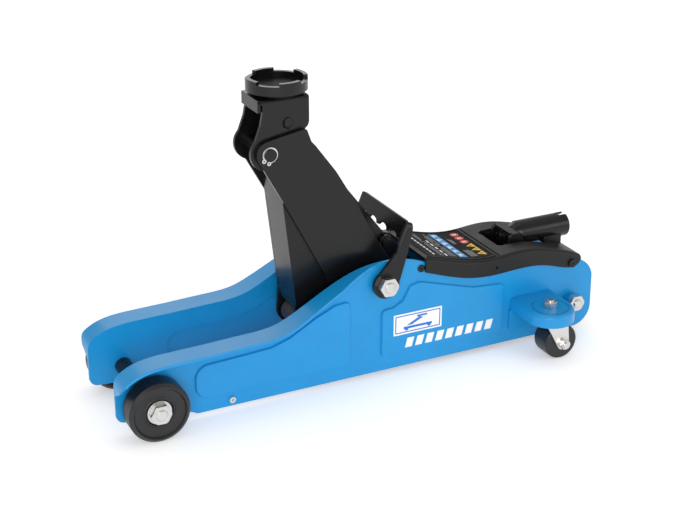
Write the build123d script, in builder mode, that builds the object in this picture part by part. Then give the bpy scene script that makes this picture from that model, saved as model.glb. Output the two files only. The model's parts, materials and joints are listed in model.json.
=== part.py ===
from build123d import *
from math import atan2, cos, hypot, radians, sin
import os

# Low-profile hydraulic trolley jack, lift arm raised. Millimetres.
# +X runs from the lifting end to the handle end, +Z is up, and the jack's left side faces -Y.
# The origin is on the floor, under the middle of the chassis.

# ---- Driving dimensions -----------------------------------------------------------------
chassis_length = 557.0
front_overhang = 36.2          # side plate ahead of the front axle
front_x = front_overhang - chassis_length / 2   # front axle

plate_out = 44.2               # outer face of a side plate
plate_t = 3.0
plate_in = plate_out - plate_t
plate_bottom = 6.2
flange_w = 23.0                # outward flange along the top of a side plate
emboss = 2.4                   # height of the pressed panels
emboss_taper = 22

wheel_r = 31.5
wheel_in = 47.9
wheel_out = 72.2
hub_face = 66.2
axle_r = 6.0                   # M12
axle_end = 76.9

pivot = (256.6, 107.8)         # lift arm shaft, from the front axle and the floor
yoke_pin_at = (139.3, 260.0)   # saddle bracket pin, at the arm's upper end
ram_pin_at = (179.4, 68.9)     # ram pin, at the arm's lower lever
link_pin_at = (161.2, 288.5)   # level link's upper pin, in the saddle bracket
tie_at = (492.3, 41.3)         # rear tie rod, which also hangs the power unit
saddle_x = 159.4
saddle_top = 330.0
saddle_r = 30.8

arm_out = 27.0                 # outer face of an arm plate
arm_t = 4.0
arm_in = arm_out - arm_t
channel_t = 4.0
tube_r = 11.3                  # arm pivot tube
yoke_out = 22.4
yoke_t = 3.8

socket_pivot = (430.0, 94.0)   # pump stroke pivot of the handle socket
socket_z = 113.0
socket_bore = 11.3
cover_screw_at = (490.0, 86.5)
anchor_tube_at = (311.0, 97.0)
tie_r = 5.0                    # M10
cover_out = 47.6
cover_t = 3.0

caster_x = 440.0
caster_y = 82.0
caster_trail = 9.0
caster_r = 19.5
shelf_top = 58.5
shelf_t = 3.0
shelf_r = 26.5

shaft_r = 9.0                  # lift arm shaft
stop_pin_at = (85.0, 13.5)
stop_pin_r = 3.5
rivet_at = (300.8, 115.5)
rivet_r = 3.2
screw_r = 2.0

run = 0.05                     # radial clearance of a running fit
gap = 0.4                      # space between parts that move past each other
m12_flats = 19.0

link_dx = link_pin_at[0] - yoke_pin_at[0]
link_dz = link_pin_at[1] - yoke_pin_at[1]
anchor_at = (pivot[0] + link_dx, pivot[1] + link_dz)   # level link's rear pin

ram_reach = hypot(tie_at[0] - ram_pin_at[0], ram_pin_at[1] - tie_at[1])
ram_tilt = atan2(ram_pin_at[1] - tie_at[1], tie_at[0] - ram_pin_at[0])

os.makedirs("parts", exist_ok=True)


# ---- Helpers ----------------------------------------------------------------------------
def side(y=0.0):
    """Sketch plane of a side view: x from the front axle, y above the floor, extrudes to the left."""
    return Plane(origin=(front_x, y, 0), x_dir=(1, 0, 0), z_dir=(0, -1, 0))


def unit_side(y=0.0):
    """Side view of the power unit: x from the tie rod towards the ram pin, y up across it."""
    return Plane(
        origin=(front_x + tie_at[0], y, tie_at[1]),
        x_dir=(-cos(ram_tilt), 0, sin(ram_tilt)),
        z_dir=(0, 1, 0),
    )


def unit_end(reach, lift=0.0):
    """Section across the power unit's axis, at a reach from the tie rod."""
    return Plane(
        origin=(
            front_x + tie_at[0] - reach * cos(ram_tilt) + lift * sin(ram_tilt),
            0,
            tie_at[1] + reach * sin(ram_tilt) + lift * cos(ram_tilt),
        ),
        x_dir=(0, 1, 0),
        z_dir=(-cos(ram_tilt), 0, sin(ram_tilt)),
    )


def unit_up(reach, lift):
    """Level section of the power unit, at a reach from the tie rod and a lift above its axis."""
    return Plane(
        origin=unit_end(reach, lift).origin,
        x_dir=(0, 1, 0),
        z_dir=(sin(ram_tilt), 0, cos(ram_tilt)),
    )


def unit_bar(radius, start, end, lift=0.0, bore=0.0):
    """Round bar or tube along the power unit's axis, between two reaches from the tie rod."""
    with BuildPart() as made:
        with BuildSketch(unit_end(start, lift)):
            Circle(radius)
            if bore:
                Circle(bore, mode=Mode.SUBTRACT)
        extrude(amount=end - start)
    return made.part


def save(name, part):
    part.label = name
    export_step(part, f"parts/{name}.step")


def save_pair(name, left):
    """Writes a left piece and its mirror image on the right."""
    with BuildPart() as right:
        mirror(left, about=Plane.XZ)
    save(f"{name}_left", left)
    save(f"{name}_right", right.part)


def pair(left):
    """A left piece and its mirror image on the right, as one node."""
    with BuildPart() as both:
        add(left)
        mirror(left, about=Plane.XZ)
    return both.part


def rod(at, radius, half_length, edge=0.6):
    """Round bar across the jack, centred on its middle plane."""
    with BuildPart() as bar:
        with BuildSketch(side()):
            with Locations(at):
                Circle(radius)
        extrude(amount=half_length, both=True)
        chamfer(bar.edges().filter_by(GeomType.CIRCLE), edge)
    return bar.part


def ring(at, outer, inner, near, far):
    """Plain ring round a cross shaft on the left, between two distances from the middle plane."""
    with BuildPart() as made:
        with BuildSketch(side(-near)):
            with Locations(at):
                Circle(outer)
                Circle(inner, mode=Mode.SUBTRACT)
        extrude(amount=far - near)
    return made.part


def hex_nut(plane, flats, bore, height):
    """Hexagon nut standing on a plane, with its corners chamfered at both ends."""
    corner = flats / 2 / cos(radians(30))
    with BuildPart() as blank:
        with BuildSketch(plane):
            Circle(corner)
        extrude(amount=height)
        chamfer(blank.edges().filter_by(GeomType.CIRCLE), 0.9)
    with BuildPart() as nut:
        with BuildSketch(plane):
            RegularPolygon(corner, 6)
            Circle(bore, mode=Mode.SUBTRACT)
        extrude(amount=height)
        add(blank.part, mode=Mode.INTERSECT)
    return nut.part


def side_nut(at, near, far, flats=m12_flats, bore=axle_r):
    """Hexagon nut on the left end of a cross shaft."""
    seat = Plane(
        origin=(front_x + at[0], -near, at[1]),
        x_dir=(1, 0, 0),
        z_dir=(0, -1, 0),
    )
    return hex_nut(seat, flats, bore, far - near)


# ---- Side plates ------------------------------------------------------------------------
# Pressed steel, mirror images. The top edge dips over the front wheels, rises in an S to the
# lift arm shaft, and runs back under the cover.
top_edge = [(-31, 67), (-14, 75.4), (14, 78.9), (58, 79.8), (98, 81.2), (134, 84.5),
            (162, 96.8), (195, 114.6), (228, 127.6), (252, 131.2), (282, 129), (312, 119.5),
            (345, 109.5), (370, 104.5), (395, 103.5), (418, 104.5), (438, 104), (464, 98.5), (486, 91)]
panel_front = [(46, 21.5), (46, 59), (92.7, 60.9), (128.8, 62.7), (149, 69), (178, 85),
               (200.5, 94.6), (218, 96), (218, 22)]
panel_rear = [(254, 22.8), (254, 77), (268, 78), (279, 84), (287, 99), (299, 101.8), (333, 91.5),
              (364, 82.3), (403, 79), (403, 21.5)]


panels = ((panel_front, 15, 6), (panel_rear, 5, 5))
pocket_inset = 3.0
pocket_depth = 2.2

# Top flange: full width at the front, tapering away towards the lift arm shaft
with BuildPart() as flange:
    with BuildSketch(side(-plate_in)):
        with BuildLine():
            Spline(*top_edge)
            Line(top_edge[-1], (top_edge[-1][0], 40))
            Line((top_edge[-1][0], 40), (top_edge[0][0], 40))
            Line((top_edge[0][0], 40), top_edge[0])
        make_face()
    extrude(amount=plate_t + flange_w)
    with BuildSketch(side(-plate_in)):
        with BuildLine():
            Spline(*[(x, z - plate_t) for x, z in top_edge])
            Line((top_edge[-1][0], top_edge[-1][1] - plate_t), (top_edge[-1][0], 30))
            Line((top_edge[-1][0], 30), (top_edge[0][0], 30))
            Line((top_edge[0][0], 30), (top_edge[0][0], top_edge[0][1] - plate_t))
        make_face()
    extrude(amount=plate_t + flange_w, mode=Mode.SUBTRACT)
    with BuildSketch(Plane.XY):
        Polygon(
            (front_x - 40, -plate_in),
            (front_x - 40, -plate_out - flange_w),
            (front_x + 150, -plate_out - flange_w),
            (front_x + 200, -plate_out - 0.8 * flange_w),
            (front_x + 251, -plate_out),
            (front_x + 251, -plate_in),
            align=None,
        )
    extrude(amount=200, mode=Mode.INTERSECT)

# the flange runs on round the nose and narrows downwards
with BuildPart() as nose_flange:
    with BuildSketch(side(-plate_in)):
        with BuildLine():
            Line((-front_overhang, 46), (-front_overhang, 55))
            ThreePointArc((-front_overhang, 55), (-35, 61.5), top_edge[0])
            Line(top_edge[0], (-28.6, 64.8))
            ThreePointArc((-28.6, 64.8), (-32.2, 60.2), (plate_t - front_overhang, 55))
            Line((plate_t - front_overhang, 55), (plate_t - front_overhang, 46))
            Line((plate_t - front_overhang, 46), (-front_overhang, 46))
        make_face()
    extrude(amount=plate_t + flange_w)
    with BuildSketch(Plane.YZ.offset(front_x - 50)):
        Polygon(
            (-plate_in, 40), (-plate_in, 80), (-plate_out - flange_w, 80), (-plate_out - flange_w, 64),
            (-plate_out - 16, 55), (-plate_out, 46), (-plate_out, 40), align=None,
        )
    extrude(amount=100, mode=Mode.INTERSECT)

with BuildPart() as plate:
    with BuildSketch(side(-plate_in)):
        with BuildLine():
            Line((-front_overhang, 25), (-front_overhang, 55))
            ThreePointArc((-front_overhang, 55), (-35, 61.5), top_edge[0])
            Spline(*top_edge)
            Line(top_edge[-1], (497, 88))
            ThreePointArc((497, 88), (513, 80), (520.2, 66))
            Line((520.2, 66), (chassis_length - front_overhang, 29))
            ThreePointArc((chassis_length - front_overhang, 29), (514, 13), (498, plate_bottom))
            Line((498, plate_bottom), (48, plate_bottom))
            Line((48, plate_bottom), (40, 10))
            Line((40, 10), (-28, 15))
            ThreePointArc((-28, 15), (-34, 18), (-front_overhang, 25))
        make_face()
    extrude(amount=plate_t)
    for corners, nose_r, corner_r in panels:
        with BuildSketch(side(-plate_out)):
            Polygon(*corners, align=None)
            fillet(vertices().sort_by(Axis.X)[2:], corner_r)
            fillet(vertices().sort_by(Axis.X)[:2], nose_r)
        extrude(amount=emboss, taper=emboss_taper)
    for corners, nose_r, corner_r in panels:
        with BuildSketch(side(-plate_in)):
            Polygon(*corners, align=None)
            fillet(vertices().sort_by(Axis.X)[2:], corner_r)
            fillet(vertices().sort_by(Axis.X)[:2], nose_r)
            offset(amount=-pocket_inset)
        extrude(amount=pocket_depth, mode=Mode.SUBTRACT)
    add(flange.part)
    add(nose_flange.part)
    with BuildSketch(side(-plate_in)):
        for at, radius in (
            ((0, wheel_r), axle_r),
            (pivot, shaft_r),
            (tie_at, tie_r),
            (stop_pin_at, stop_pin_r),
            (rivet_at, rivet_r),
            (cover_screw_at, screw_r),
        ):
            with Locations(at):
                Circle(radius)
    extrude(amount=plate_t, mode=Mode.SUBTRACT)
save_pair("side_plate", plate.part)


# ---- Caster shelves ---------------------------------------------------------------------
# D-shaped pressed shelf with a turned-down skirt and a back flange welded to the side plate.
skirt_h = 14.0
back_flange_bottom = 22.0
stud_x = front_x + caster_x
stud_r = 4.0
shelf_reach = caster_y - plate_out
groove_r = 20.5                # ring pressed into the shelf round the stud
groove_deep = 0.8

with BuildPart() as shelf:
    with BuildSketch(Plane.XY.offset(shelf_top - skirt_h)):
        with Locations((stud_x, -plate_out - shelf_reach / 2)):
            Rectangle(2 * shelf_r, shelf_reach)
        with Locations((stud_x, -caster_y)):
            Circle(shelf_r)
    extrude(amount=skirt_h)
    top_rim = shelf.edges().group_by(Axis.Z)[-1].filter_by_position(Axis.Y, -200, -plate_out - 0.1)
    fillet(top_rim, 4)
    with BuildSketch(Plane.XY.offset(shelf_top - skirt_h)):
        with Locations((stud_x, -plate_out - shelf_reach / 2)):
            Rectangle(2 * (shelf_r - shelf_t), shelf_reach)
        with Locations((stud_x, -caster_y)):
            Circle(shelf_r - shelf_t)
    extrude(amount=skirt_h - shelf_t, mode=Mode.SUBTRACT)
    with BuildSketch(Plane.XY.offset(shelf_top)):
        with Locations((stud_x, -caster_y)):
            Circle(groove_r)
            Circle(groove_r - 1.6, mode=Mode.SUBTRACT)
    extrude(amount=-groove_deep, mode=Mode.SUBTRACT)
    with BuildSketch(side(-plate_out)):
        with Locations((caster_x, (back_flange_bottom + shelf_top - skirt_h) / 2)):
            Rectangle(2 * shelf_r + 3, shelf_top - skirt_h - back_flange_bottom)
    extrude(amount=shelf_t)
    with BuildSketch(Plane.XY.offset(shelf_top)):
        with Locations((stud_x, -caster_y)):
            Circle(stud_r)
    extrude(amount=-shelf_t, mode=Mode.SUBTRACT)
save_pair("caster_shelf", shelf.part)

# ---- Casters ----------------------------------------------------------------------------
fork_top = 51.0
fork_t = 2.5
stud_foot = 44.6
roller_half = 12.5
leg_in = 13.2
cap_r = 3.5                    # roller axle

with BuildPart() as stud:
    with BuildSketch(Plane.XY.offset(stud_foot)):
        with Locations((stud_x, -caster_y)):
            Circle(6.5)
    extrude(amount=fork_top - fork_t - stud_foot - 0.3)
    with BuildSketch(Plane.XY.offset(stud_foot)):
        with Locations((stud_x, -caster_y)):
            Circle(stud_r)
    extrude(amount=shelf_top + 8.6 - stud_foot)
save("caster_studs", pair(stud.part))

stud_nut = hex_nut(Plane(origin=(stud_x, -caster_y, shelf_top)), 13, stud_r, 6.8)
with BuildPart() as stud_washer:
    with BuildSketch(Plane.XY.offset(fork_top + 0.2)):
        with Locations((stud_x, -caster_y)):
            Circle(13.5)
            Circle(stud_r, mode=Mode.SUBTRACT)
    extrude(amount=shelf_top - shelf_t - fork_top - 0.2)
save("caster_stud_nuts", pair(stud_nut))
save("caster_swivel_races", pair(stud_washer.part))

with BuildPart() as fork:
    with BuildSketch(Plane.XY.offset(fork_top - fork_t)):
        with Locations((stud_x, -caster_y)):
            Circle(15)
            Rectangle(26, 2 * (leg_in + fork_t))
    extrude(amount=fork_t)
    for y in (-caster_y - leg_in, -caster_y + leg_in + fork_t):
        with BuildSketch(side(y)):
            with Locations((caster_x, fork_top - 3)):
                Rectangle(26, 6)
            with Locations((caster_x + caster_trail, caster_r)):
                Circle(7.5)
            make_hull()
        extrude(amount=fork_t)
    with BuildSketch(Plane.XY.offset(fork_top - fork_t)):
        with Locations((stud_x, -caster_y)):
            Circle(stud_r + run)
    extrude(amount=fork_t, mode=Mode.SUBTRACT)
    with BuildSketch(side(-caster_y)):
        with Locations((caster_x + caster_trail, caster_r)):
            Circle(cap_r)
    extrude(amount=20, both=True, mode=Mode.SUBTRACT)
save_pair("caster_fork", fork.part)

caster_axle_at = (caster_x + caster_trail, caster_r)
axle_shoulder = leg_in + fork_t
axle_head_end = 18.5
axle_nut_seat = 17.4
axle_nut_end = 21.8
axle_tip = 23.2
axle_head = ring(caster_axle_at, 6.2, cap_r, caster_y - axle_head_end, caster_y - axle_shoulder)
axle_collar = ring(caster_axle_at, 6.2, cap_r, caster_y + axle_shoulder, caster_y + axle_nut_seat)
with BuildPart() as caster_axle:
    with BuildSketch(side(-caster_y + axle_head_end)):
        with Locations(caster_axle_at):
            Circle(cap_r)
    extrude(amount=axle_head_end + axle_tip)
    add(axle_head)
    add(side_nut(caster_axle_at, caster_y + axle_nut_seat, caster_y + axle_nut_end, flats=10, bore=cap_r))
    add(axle_collar)
save_pair("caster_axle", caster_axle.part)

with BuildPart() as roller:
    with BuildSketch(side(-caster_y)):
        with Locations(caster_axle_at):
            Circle(caster_r)
    extrude(amount=roller_half, both=True)
    fillet(roller.edges().filter_by(GeomType.CIRCLE), 2.5)
    with BuildSketch(side(-caster_y)):
        with Locations(caster_axle_at):
            Circle(cap_r + run)
    extrude(amount=roller_half, both=True, mode=Mode.SUBTRACT)
save_pair("caster_wheel", roller.part)

# ---- Front axle and wheels --------------------------------------------------------------
axle_at = (0, wheel_r)
save("front_axle", rod(axle_at, axle_r, axle_end, 1.2))
save("front_axle_tube", ring(axle_at, 9, axle_r, -plate_in, plate_in))
washer_inner = ring(axle_at, 11, axle_r, plate_out, wheel_in - gap)
washer_outer = ring(axle_at, 12.5, axle_r, hub_face + 0.3, hub_face + 2.8)
with BuildPart() as washers:
    add(washer_inner)
    add(washer_outer)
save("front_axle_washers", pair(washers.part))
save("front_axle_nuts", pair(side_nut(axle_at, hub_face + 2.8, 75.6)))

tread_shoulder = 3.0
with BuildPart() as front_wheel:
    with BuildSketch(Plane(origin=(front_x, 0, wheel_r), x_dir=(0, -1, 0), z_dir=(1, 0, 0))):
        with BuildLine():
            Polyline(
                (wheel_in, axle_r + run),
                (wheel_in, 12),
                (wheel_in + 2, 13.5),
                (wheel_in + 2, 24.5),
                (wheel_in, 26),
                (wheel_in, wheel_r - tread_shoulder),
                (wheel_in + tread_shoulder, wheel_r),
                (wheel_out - tread_shoulder, wheel_r),
                (wheel_out, wheel_r - tread_shoulder),
                (wheel_out, 27.2),
                (wheel_out - 2.6, 25.6),
                (wheel_out - 3.8, 16.5),
                (wheel_out - 3.0, 15.6),
                (wheel_out - 3.0, 14.2),
                (hub_face, 13.6),
                (hub_face, axle_r + run),
                close=True,
            )
        make_face()
    revolve(axis=Axis((front_x, 0, wheel_r), (0, -1, 0)))
save_pair("front_wheel", front_wheel.part)

# ---- Small chassis fasteners ------------------------------------------------------------
save("stop_pins", pair(ring(stop_pin_at, stop_pin_r, 0.8, plate_in - 2, plate_out + 2.6)))
with BuildPart() as rivet:
    add(ring(rivet_at, rivet_r, 0.8, plate_in - 2, plate_out))
    add(ring(rivet_at, rivet_r + 0.8, 0.8, plate_out, plate_out + 1.2))
save("cover_rivets", pair(rivet.part))

# ---- Rear tie rod -----------------------------------------------------------------------
block_half = 30.0
save("rear_tie_rod", rod(tie_at, tie_r, 61.3, 1.0))
with BuildPart() as tie_spacers:
    add(ring(tie_at, 9, tie_r, block_half + gap, plate_in))
    add(ring(tie_at, 8.2, tie_r, plate_out, 51.4))
save("rear_tie_spacers", pair(tie_spacers.part))
save("rear_tie_nuts", pair(side_nut(tie_at, 51.4, 59.6, flats=17, bore=tie_r)))

# ---- Lift arm shaft ---------------------------------------------------------------------
shaft_shoulder = 47.3
handle_in = 47.7
handle_t = 4.0
with BuildPart() as shaft:
    with BuildSketch(side()):
        with Locations(pivot):
            Circle(shaft_r)
    extrude(amount=shaft_shoulder, both=True)
    with BuildSketch(side()):
        with Locations(pivot):
            Circle(axle_r)
    extrude(amount=60.6, both=True)
    chamfer(shaft.edges().filter_by(GeomType.CIRCLE).group_by(Axis.Y)[0], 0.8)
    chamfer(shaft.edges().filter_by(GeomType.CIRCLE).group_by(Axis.Y)[-1], 0.8)
save("lift_shaft", shaft.part)
save("lift_shaft_spacers", pair(ring(pivot, 13, shaft_r, arm_out + 0.5, plate_in)))
save("lift_shaft_nuts", pair(side_nut(pivot, handle_in + handle_t + 0.3, 59.4)))

# ---- Carry handle -----------------------------------------------------------------------
# One pressed bail: the grip plate faces forward and its ends turn back into two arms.
handle_lean = radians(23)
grip_top = 70.5
grip_front = -5.0
grip_t = 3.5
fold_r = 5.0
fold_foot = 44.0
grip_foot = 50.0
grip_corner_r = 8.0
handle_side = Plane(
    origin=(front_x + pivot[0], 0, pivot[1]),
    x_dir=(cos(handle_lean), 0, -sin(handle_lean)),
    z_dir=(0, -1, 0),
)
handle_out = handle_in + handle_t
with BuildPart() as carry_handle:
    with BuildSketch(handle_side):
        Polygon(
            (-12, 8), (-3, 36), (grip_front, 46), (grip_front, grip_top), (3.5, grip_top),
            (5, 63), (9.4, 39), (13, 8), align=None,
        )
        fillet(vertices().group_by(Axis.Y)[-1].sort_by(Axis.X)[-1], 4)
        Circle(14.7)
    extrude(amount=handle_out, both=True)
    # rounded folds between the grip and the arms
    handle_plan = Plane(origin=handle_side.origin, x_dir=(0, 1, 0), z_dir=handle_side.y_dir)
    with BuildSketch(handle_plan.offset(fold_foot)):
        for end in (-1, 1):
            with Locations((end * (handle_out - fold_r / 2), -grip_front - fold_r / 2)):
                Rectangle(fold_r, fold_r)
        for end in (-1, 1):
            with Locations((end * (handle_out - fold_r), -grip_front - fold_r)):
                Circle(fold_r, mode=Mode.SUBTRACT)
    extrude(amount=30, mode=Mode.SUBTRACT)
    # rounded upper corners, and finger scallops along the grip's lower edge
    grip_face = Plane(origin=handle_side.origin, x_dir=(0, 1, 0), z_dir=handle_side.x_dir)
    with BuildSketch(grip_face):
        for end in (-1, 1):
            with Locations((end * (handle_out - grip_corner_r / 2), grip_top - grip_corner_r / 2)):
                Rectangle(grip_corner_r, grip_corner_r)
        for end in (-1, 1):
            with Locations((end * (handle_out - grip_corner_r), grip_top - grip_corner_r)):
                Circle(grip_corner_r, mode=Mode.SUBTRACT)
    extrude(amount=20, both=True, mode=Mode.SUBTRACT)
    with BuildSketch(handle_side):
        with Locations((grip_front + grip_t + 30, 30)):
            Rectangle(60, 120)
    extrude(amount=handle_in, both=True, mode=Mode.SUBTRACT)
    with BuildSketch(handle_side):
        with Locations((0, grip_foot - 44)):
            Rectangle(60, 88)
    extrude(amount=handle_in, both=True, mode=Mode.SUBTRACT)
    with BuildSketch(grip_face):
        with Locations(*[(y, grip_foot) for y in (-33, -11, 11, 33)]):
            Ellipse(9, 4.5)
    extrude(amount=20, both=True, mode=Mode.SUBTRACT)
    with BuildSketch(handle_side):
        Circle(axle_r + run)
    extrude(amount=60, both=True, mode=Mode.SUBTRACT)
save("carry_handle", carry_handle.part)

# ---- Lift arm ---------------------------------------------------------------------------
# Two outer plates and a front channel, which carries the ram pin in its lower lobes.
with BuildPart() as arm_plate:
    with BuildSketch(side(-arm_in)):
        with BuildLine():
            Polyline(
                (135, 273), (150, 276), (175.5, 280.5), (179.5, 279.5), (184, 267), (188.5, 262),
                (211, 231.5), (234, 192.9),
                (256.2, 152.2), (276.5, 118), (262, 88), (240, 88), (212, 97), (203.9, 111.2),
                (155, 204.6), (127.6, 254), close=True,
            )
        make_face()
        fillet(vertices().group_by(Axis.Y)[-1], 1)
        with Locations(yoke_pin_at):
            Circle(13.6)
        with Locations(pivot):
            Circle(20.5)
    extrude(amount=arm_t)
    # stiffening lip along the lower rear edge
    with BuildSketch(side(-15)):
        Polygon(
            (213, 228.2), (234, 192.9), (256.2, 152.2), (262, 142.5),
            (258.9, 140.8), (252.9, 150.8), (231, 191.2), (210, 226.3), align=None,
        )
    extrude(amount=arm_out - 15)
    with BuildSketch(side(-arm_in)):
        with Locations(yoke_pin_at):
            Circle(6.5)
        with Locations(pivot):
            Circle(tube_r)
    extrude(amount=arm_t, mode=Mode.SUBTRACT)
save_pair("arm_plate", arm_plate.part)

web_top = (150.1, 238)
web_foot = (167.7, 87)
cheek_notch = 5.0
with BuildPart() as channel:
    with BuildSketch(side()):
        Polygon(
            web_top, (web_top[0] + channel_t, 238.5), (web_foot[0] + channel_t, 87.5), web_foot,
            align=None,
        )
    extrude(amount=arm_in, both=True)
    for y in (-arm_in + channel_t, arm_in):
        with BuildSketch(side(y)):
            Polygon(
                (154.7, 198), (166.6, 96), (164.6, 72), (170.5, 56.8), (262, 89), (276, 108),
                (264, 126), (206, 176), (180, 198), align=None,
            )
            with Locations(ram_pin_at):
                Circle(15)
            with Locations(pivot):
                Circle(19)
        extrude(amount=channel_t)
    with BuildSketch(side()):
        with Locations(ram_pin_at):
            Circle(axle_r)
        with Locations(pivot):
            Circle(tube_r)
    extrude(amount=arm_in, both=True, mode=Mode.SUBTRACT)
    # corners cut away where the saddle bracket's cheeks sweep past
    for y in (-arm_in, arm_in):
        with BuildSketch(side(y)):
            with Locations((152, 236)):
                Rectangle(14, 14)
        extrude(amount=cheek_notch, both=True, mode=Mode.SUBTRACT)
save("arm_channel", channel.part)
save("arm_pivot_tube", ring(pivot, tube_r, shaft_r + run, -arm_out, arm_out))

pin_r = 6.5
with BuildPart() as yoke_pin:
    with BuildSketch(side()):
        with Locations(yoke_pin_at):
            Circle(pin_r)
    extrude(amount=30.6, both=True)
    chamfer(yoke_pin.edges().filter_by(GeomType.CIRCLE), 0.7)
    add(pair(ring(yoke_pin_at, pin_r + 1, pin_r - 0.5, arm_out + 0.2, arm_out + 1.4)), mode=Mode.SUBTRACT)
save("yoke_pin", yoke_pin.part)
with BuildPart() as circlip:
    with BuildSketch(side(-arm_out - 0.3)):
        with Locations(yoke_pin_at):
            Circle(8.0)
            Circle(pin_r - 0.5, mode=Mode.SUBTRACT)
        for back, down in ((6.6, 5.6), (1.4, 8.6)):
            with Locations((yoke_pin_at[0] - back, yoke_pin_at[1] - down)):
                Circle(2.1)
                Circle(0.8, mode=Mode.SUBTRACT)
        with Locations((yoke_pin_at[0] - 3.7, yoke_pin_at[1] - 7)):
            Rectangle(2, 8, rotation=-28, mode=Mode.SUBTRACT)
    extrude(amount=1.0)
save("yoke_pin_circlips", pair(circlip.part))
save("ram_pin", pair(ring(ram_pin_at, axle_r, 0.8, arm_in - channel_t, 38)))

# ---- Saddle bracket (yoke) --------------------------------------------------------------
yoke_top = 313.5
yoke_rear = 183.8
yoke_front = 132.5
with BuildPart() as yoke:
    for y in (-yoke_out + yoke_t, yoke_out):
        with BuildSketch(side(y)):
            Polygon(
                (134.6, yoke_top - 2), (134.6, 301), (132, 288), (121.6, 261), (139, 242.5), (150, 246),
                (179.2, 279.7), (182.6, 283), (yoke_rear, 287), (yoke_rear, yoke_top - 2), align=None,
            )
            with Locations(yoke_pin_at):
                Circle(18.3)
        extrude(amount=yoke_t)
    with BuildSketch(side()):
        with Locations(((yoke_front + yoke_rear) / 2, yoke_top - 2)):
            Rectangle(yoke_rear - yoke_front, 4)
    extrude(amount=yoke_out, both=True)
    with BuildSketch(side()):
        with Locations((yoke_front - 0.4, (yoke_top + 301) / 2)):
            Rectangle(3.6, yoke_top - 301)
    extrude(amount=19.8, both=True)
    long_edges = yoke.edges().filter_by(Axis.X).group_by(Axis.Z)[-1]
    fillet(long_edges.sort_by(Axis.Y)[0], 3)
    fillet(yoke.edges().filter_by(Axis.X).group_by(Axis.Z)[-1].sort_by(Axis.Y)[-1], 3)
    with BuildSketch(side()):
        with Locations(yoke_pin_at):
            Circle(pin_r + run)
        with Locations(link_pin_at):
            Circle(5)
    extrude(amount=yoke_out, both=True, mode=Mode.SUBTRACT)
    with BuildSketch(Plane.XY.offset(yoke_top)):
        with Locations((front_x + saddle_x, 0)):
            Circle(8 + run)
    extrude(amount=-4, mode=Mode.SUBTRACT)
save("saddle_bracket", yoke.part)
save("link_pin_front", rod(link_pin_at, 5, yoke_out, 0.5))
save("link_pin_spacers", pair(ring(link_pin_at, 8, 5, 4.4, yoke_out - yoke_t)))

# ---- Saddle -----------------------------------------------------------------------------
rim_in = 26.4
tooth_h = 3.0
saddle_under = yoke_top + 0.3
tooth_turn = 4.0
saddle_at = (front_x + saddle_x, 0)
with BuildPart() as saddle:
    with BuildSketch(Plane(origin=(saddle_at[0], 0, 0), x_dir=(1, 0, 0), z_dir=(0, -1, 0))):
        Polygon(
            (0, 302), (8, 302), (8, saddle_under), (25, saddle_under),
            (saddle_r, 317.5), (saddle_r, saddle_top - tooth_h), (rim_in, saddle_top - tooth_h),
            (rim_in, 321.5), (0, 321.5), align=None,
        )
    revolve(axis=Axis((saddle_at[0], 0, 0), (0, 0, 1)))
    with BuildSketch(Plane.XY.offset(saddle_top - tooth_h)):
        with Locations(saddle_at):
            with PolarLocations(0, 4, start_angle=tooth_turn):
                Polygon((0, 0), (60, -24.85), (60, 24.85), align=None)
            Circle(saddle_r, mode=Mode.INTERSECT)
        with Locations(saddle_at):
            Circle(rim_in, mode=Mode.SUBTRACT)
    extrude(amount=tooth_h)
save("saddle", saddle.part)

# ---- Level link -------------------------------------------------------------------------
with BuildPart() as link:
    with BuildSketch(side()):
        with Locations(link_pin_at, anchor_at):
            Circle(5)
        make_hull()
        with Locations(link_pin_at, anchor_at):
            Circle(9)
        with Locations(link_pin_at, anchor_at):
            Circle(5 + run, mode=Mode.SUBTRACT)
    extrude(amount=4, both=True)
save("level_link", link.part)

with BuildPart() as anchor:
    with BuildSketch(side()):
        with Locations(anchor_tube_at):
            Circle(7.5)
    extrude(amount=plate_in, both=True)
    for y in (-4.4, 8.4):
        with BuildSketch(side(y)):
            with Locations(anchor_at, anchor_tube_at):
                Circle(7.5)
            make_hull()
        extrude(amount=4)
    with BuildSketch(side()):
        with Locations(anchor_at):
            Circle(5)
    extrude(amount=20, both=True, mode=Mode.SUBTRACT)
save("link_anchor", anchor.part)
save("link_pin_rear", rod(anchor_at, 5, 10, 0.5))

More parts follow.
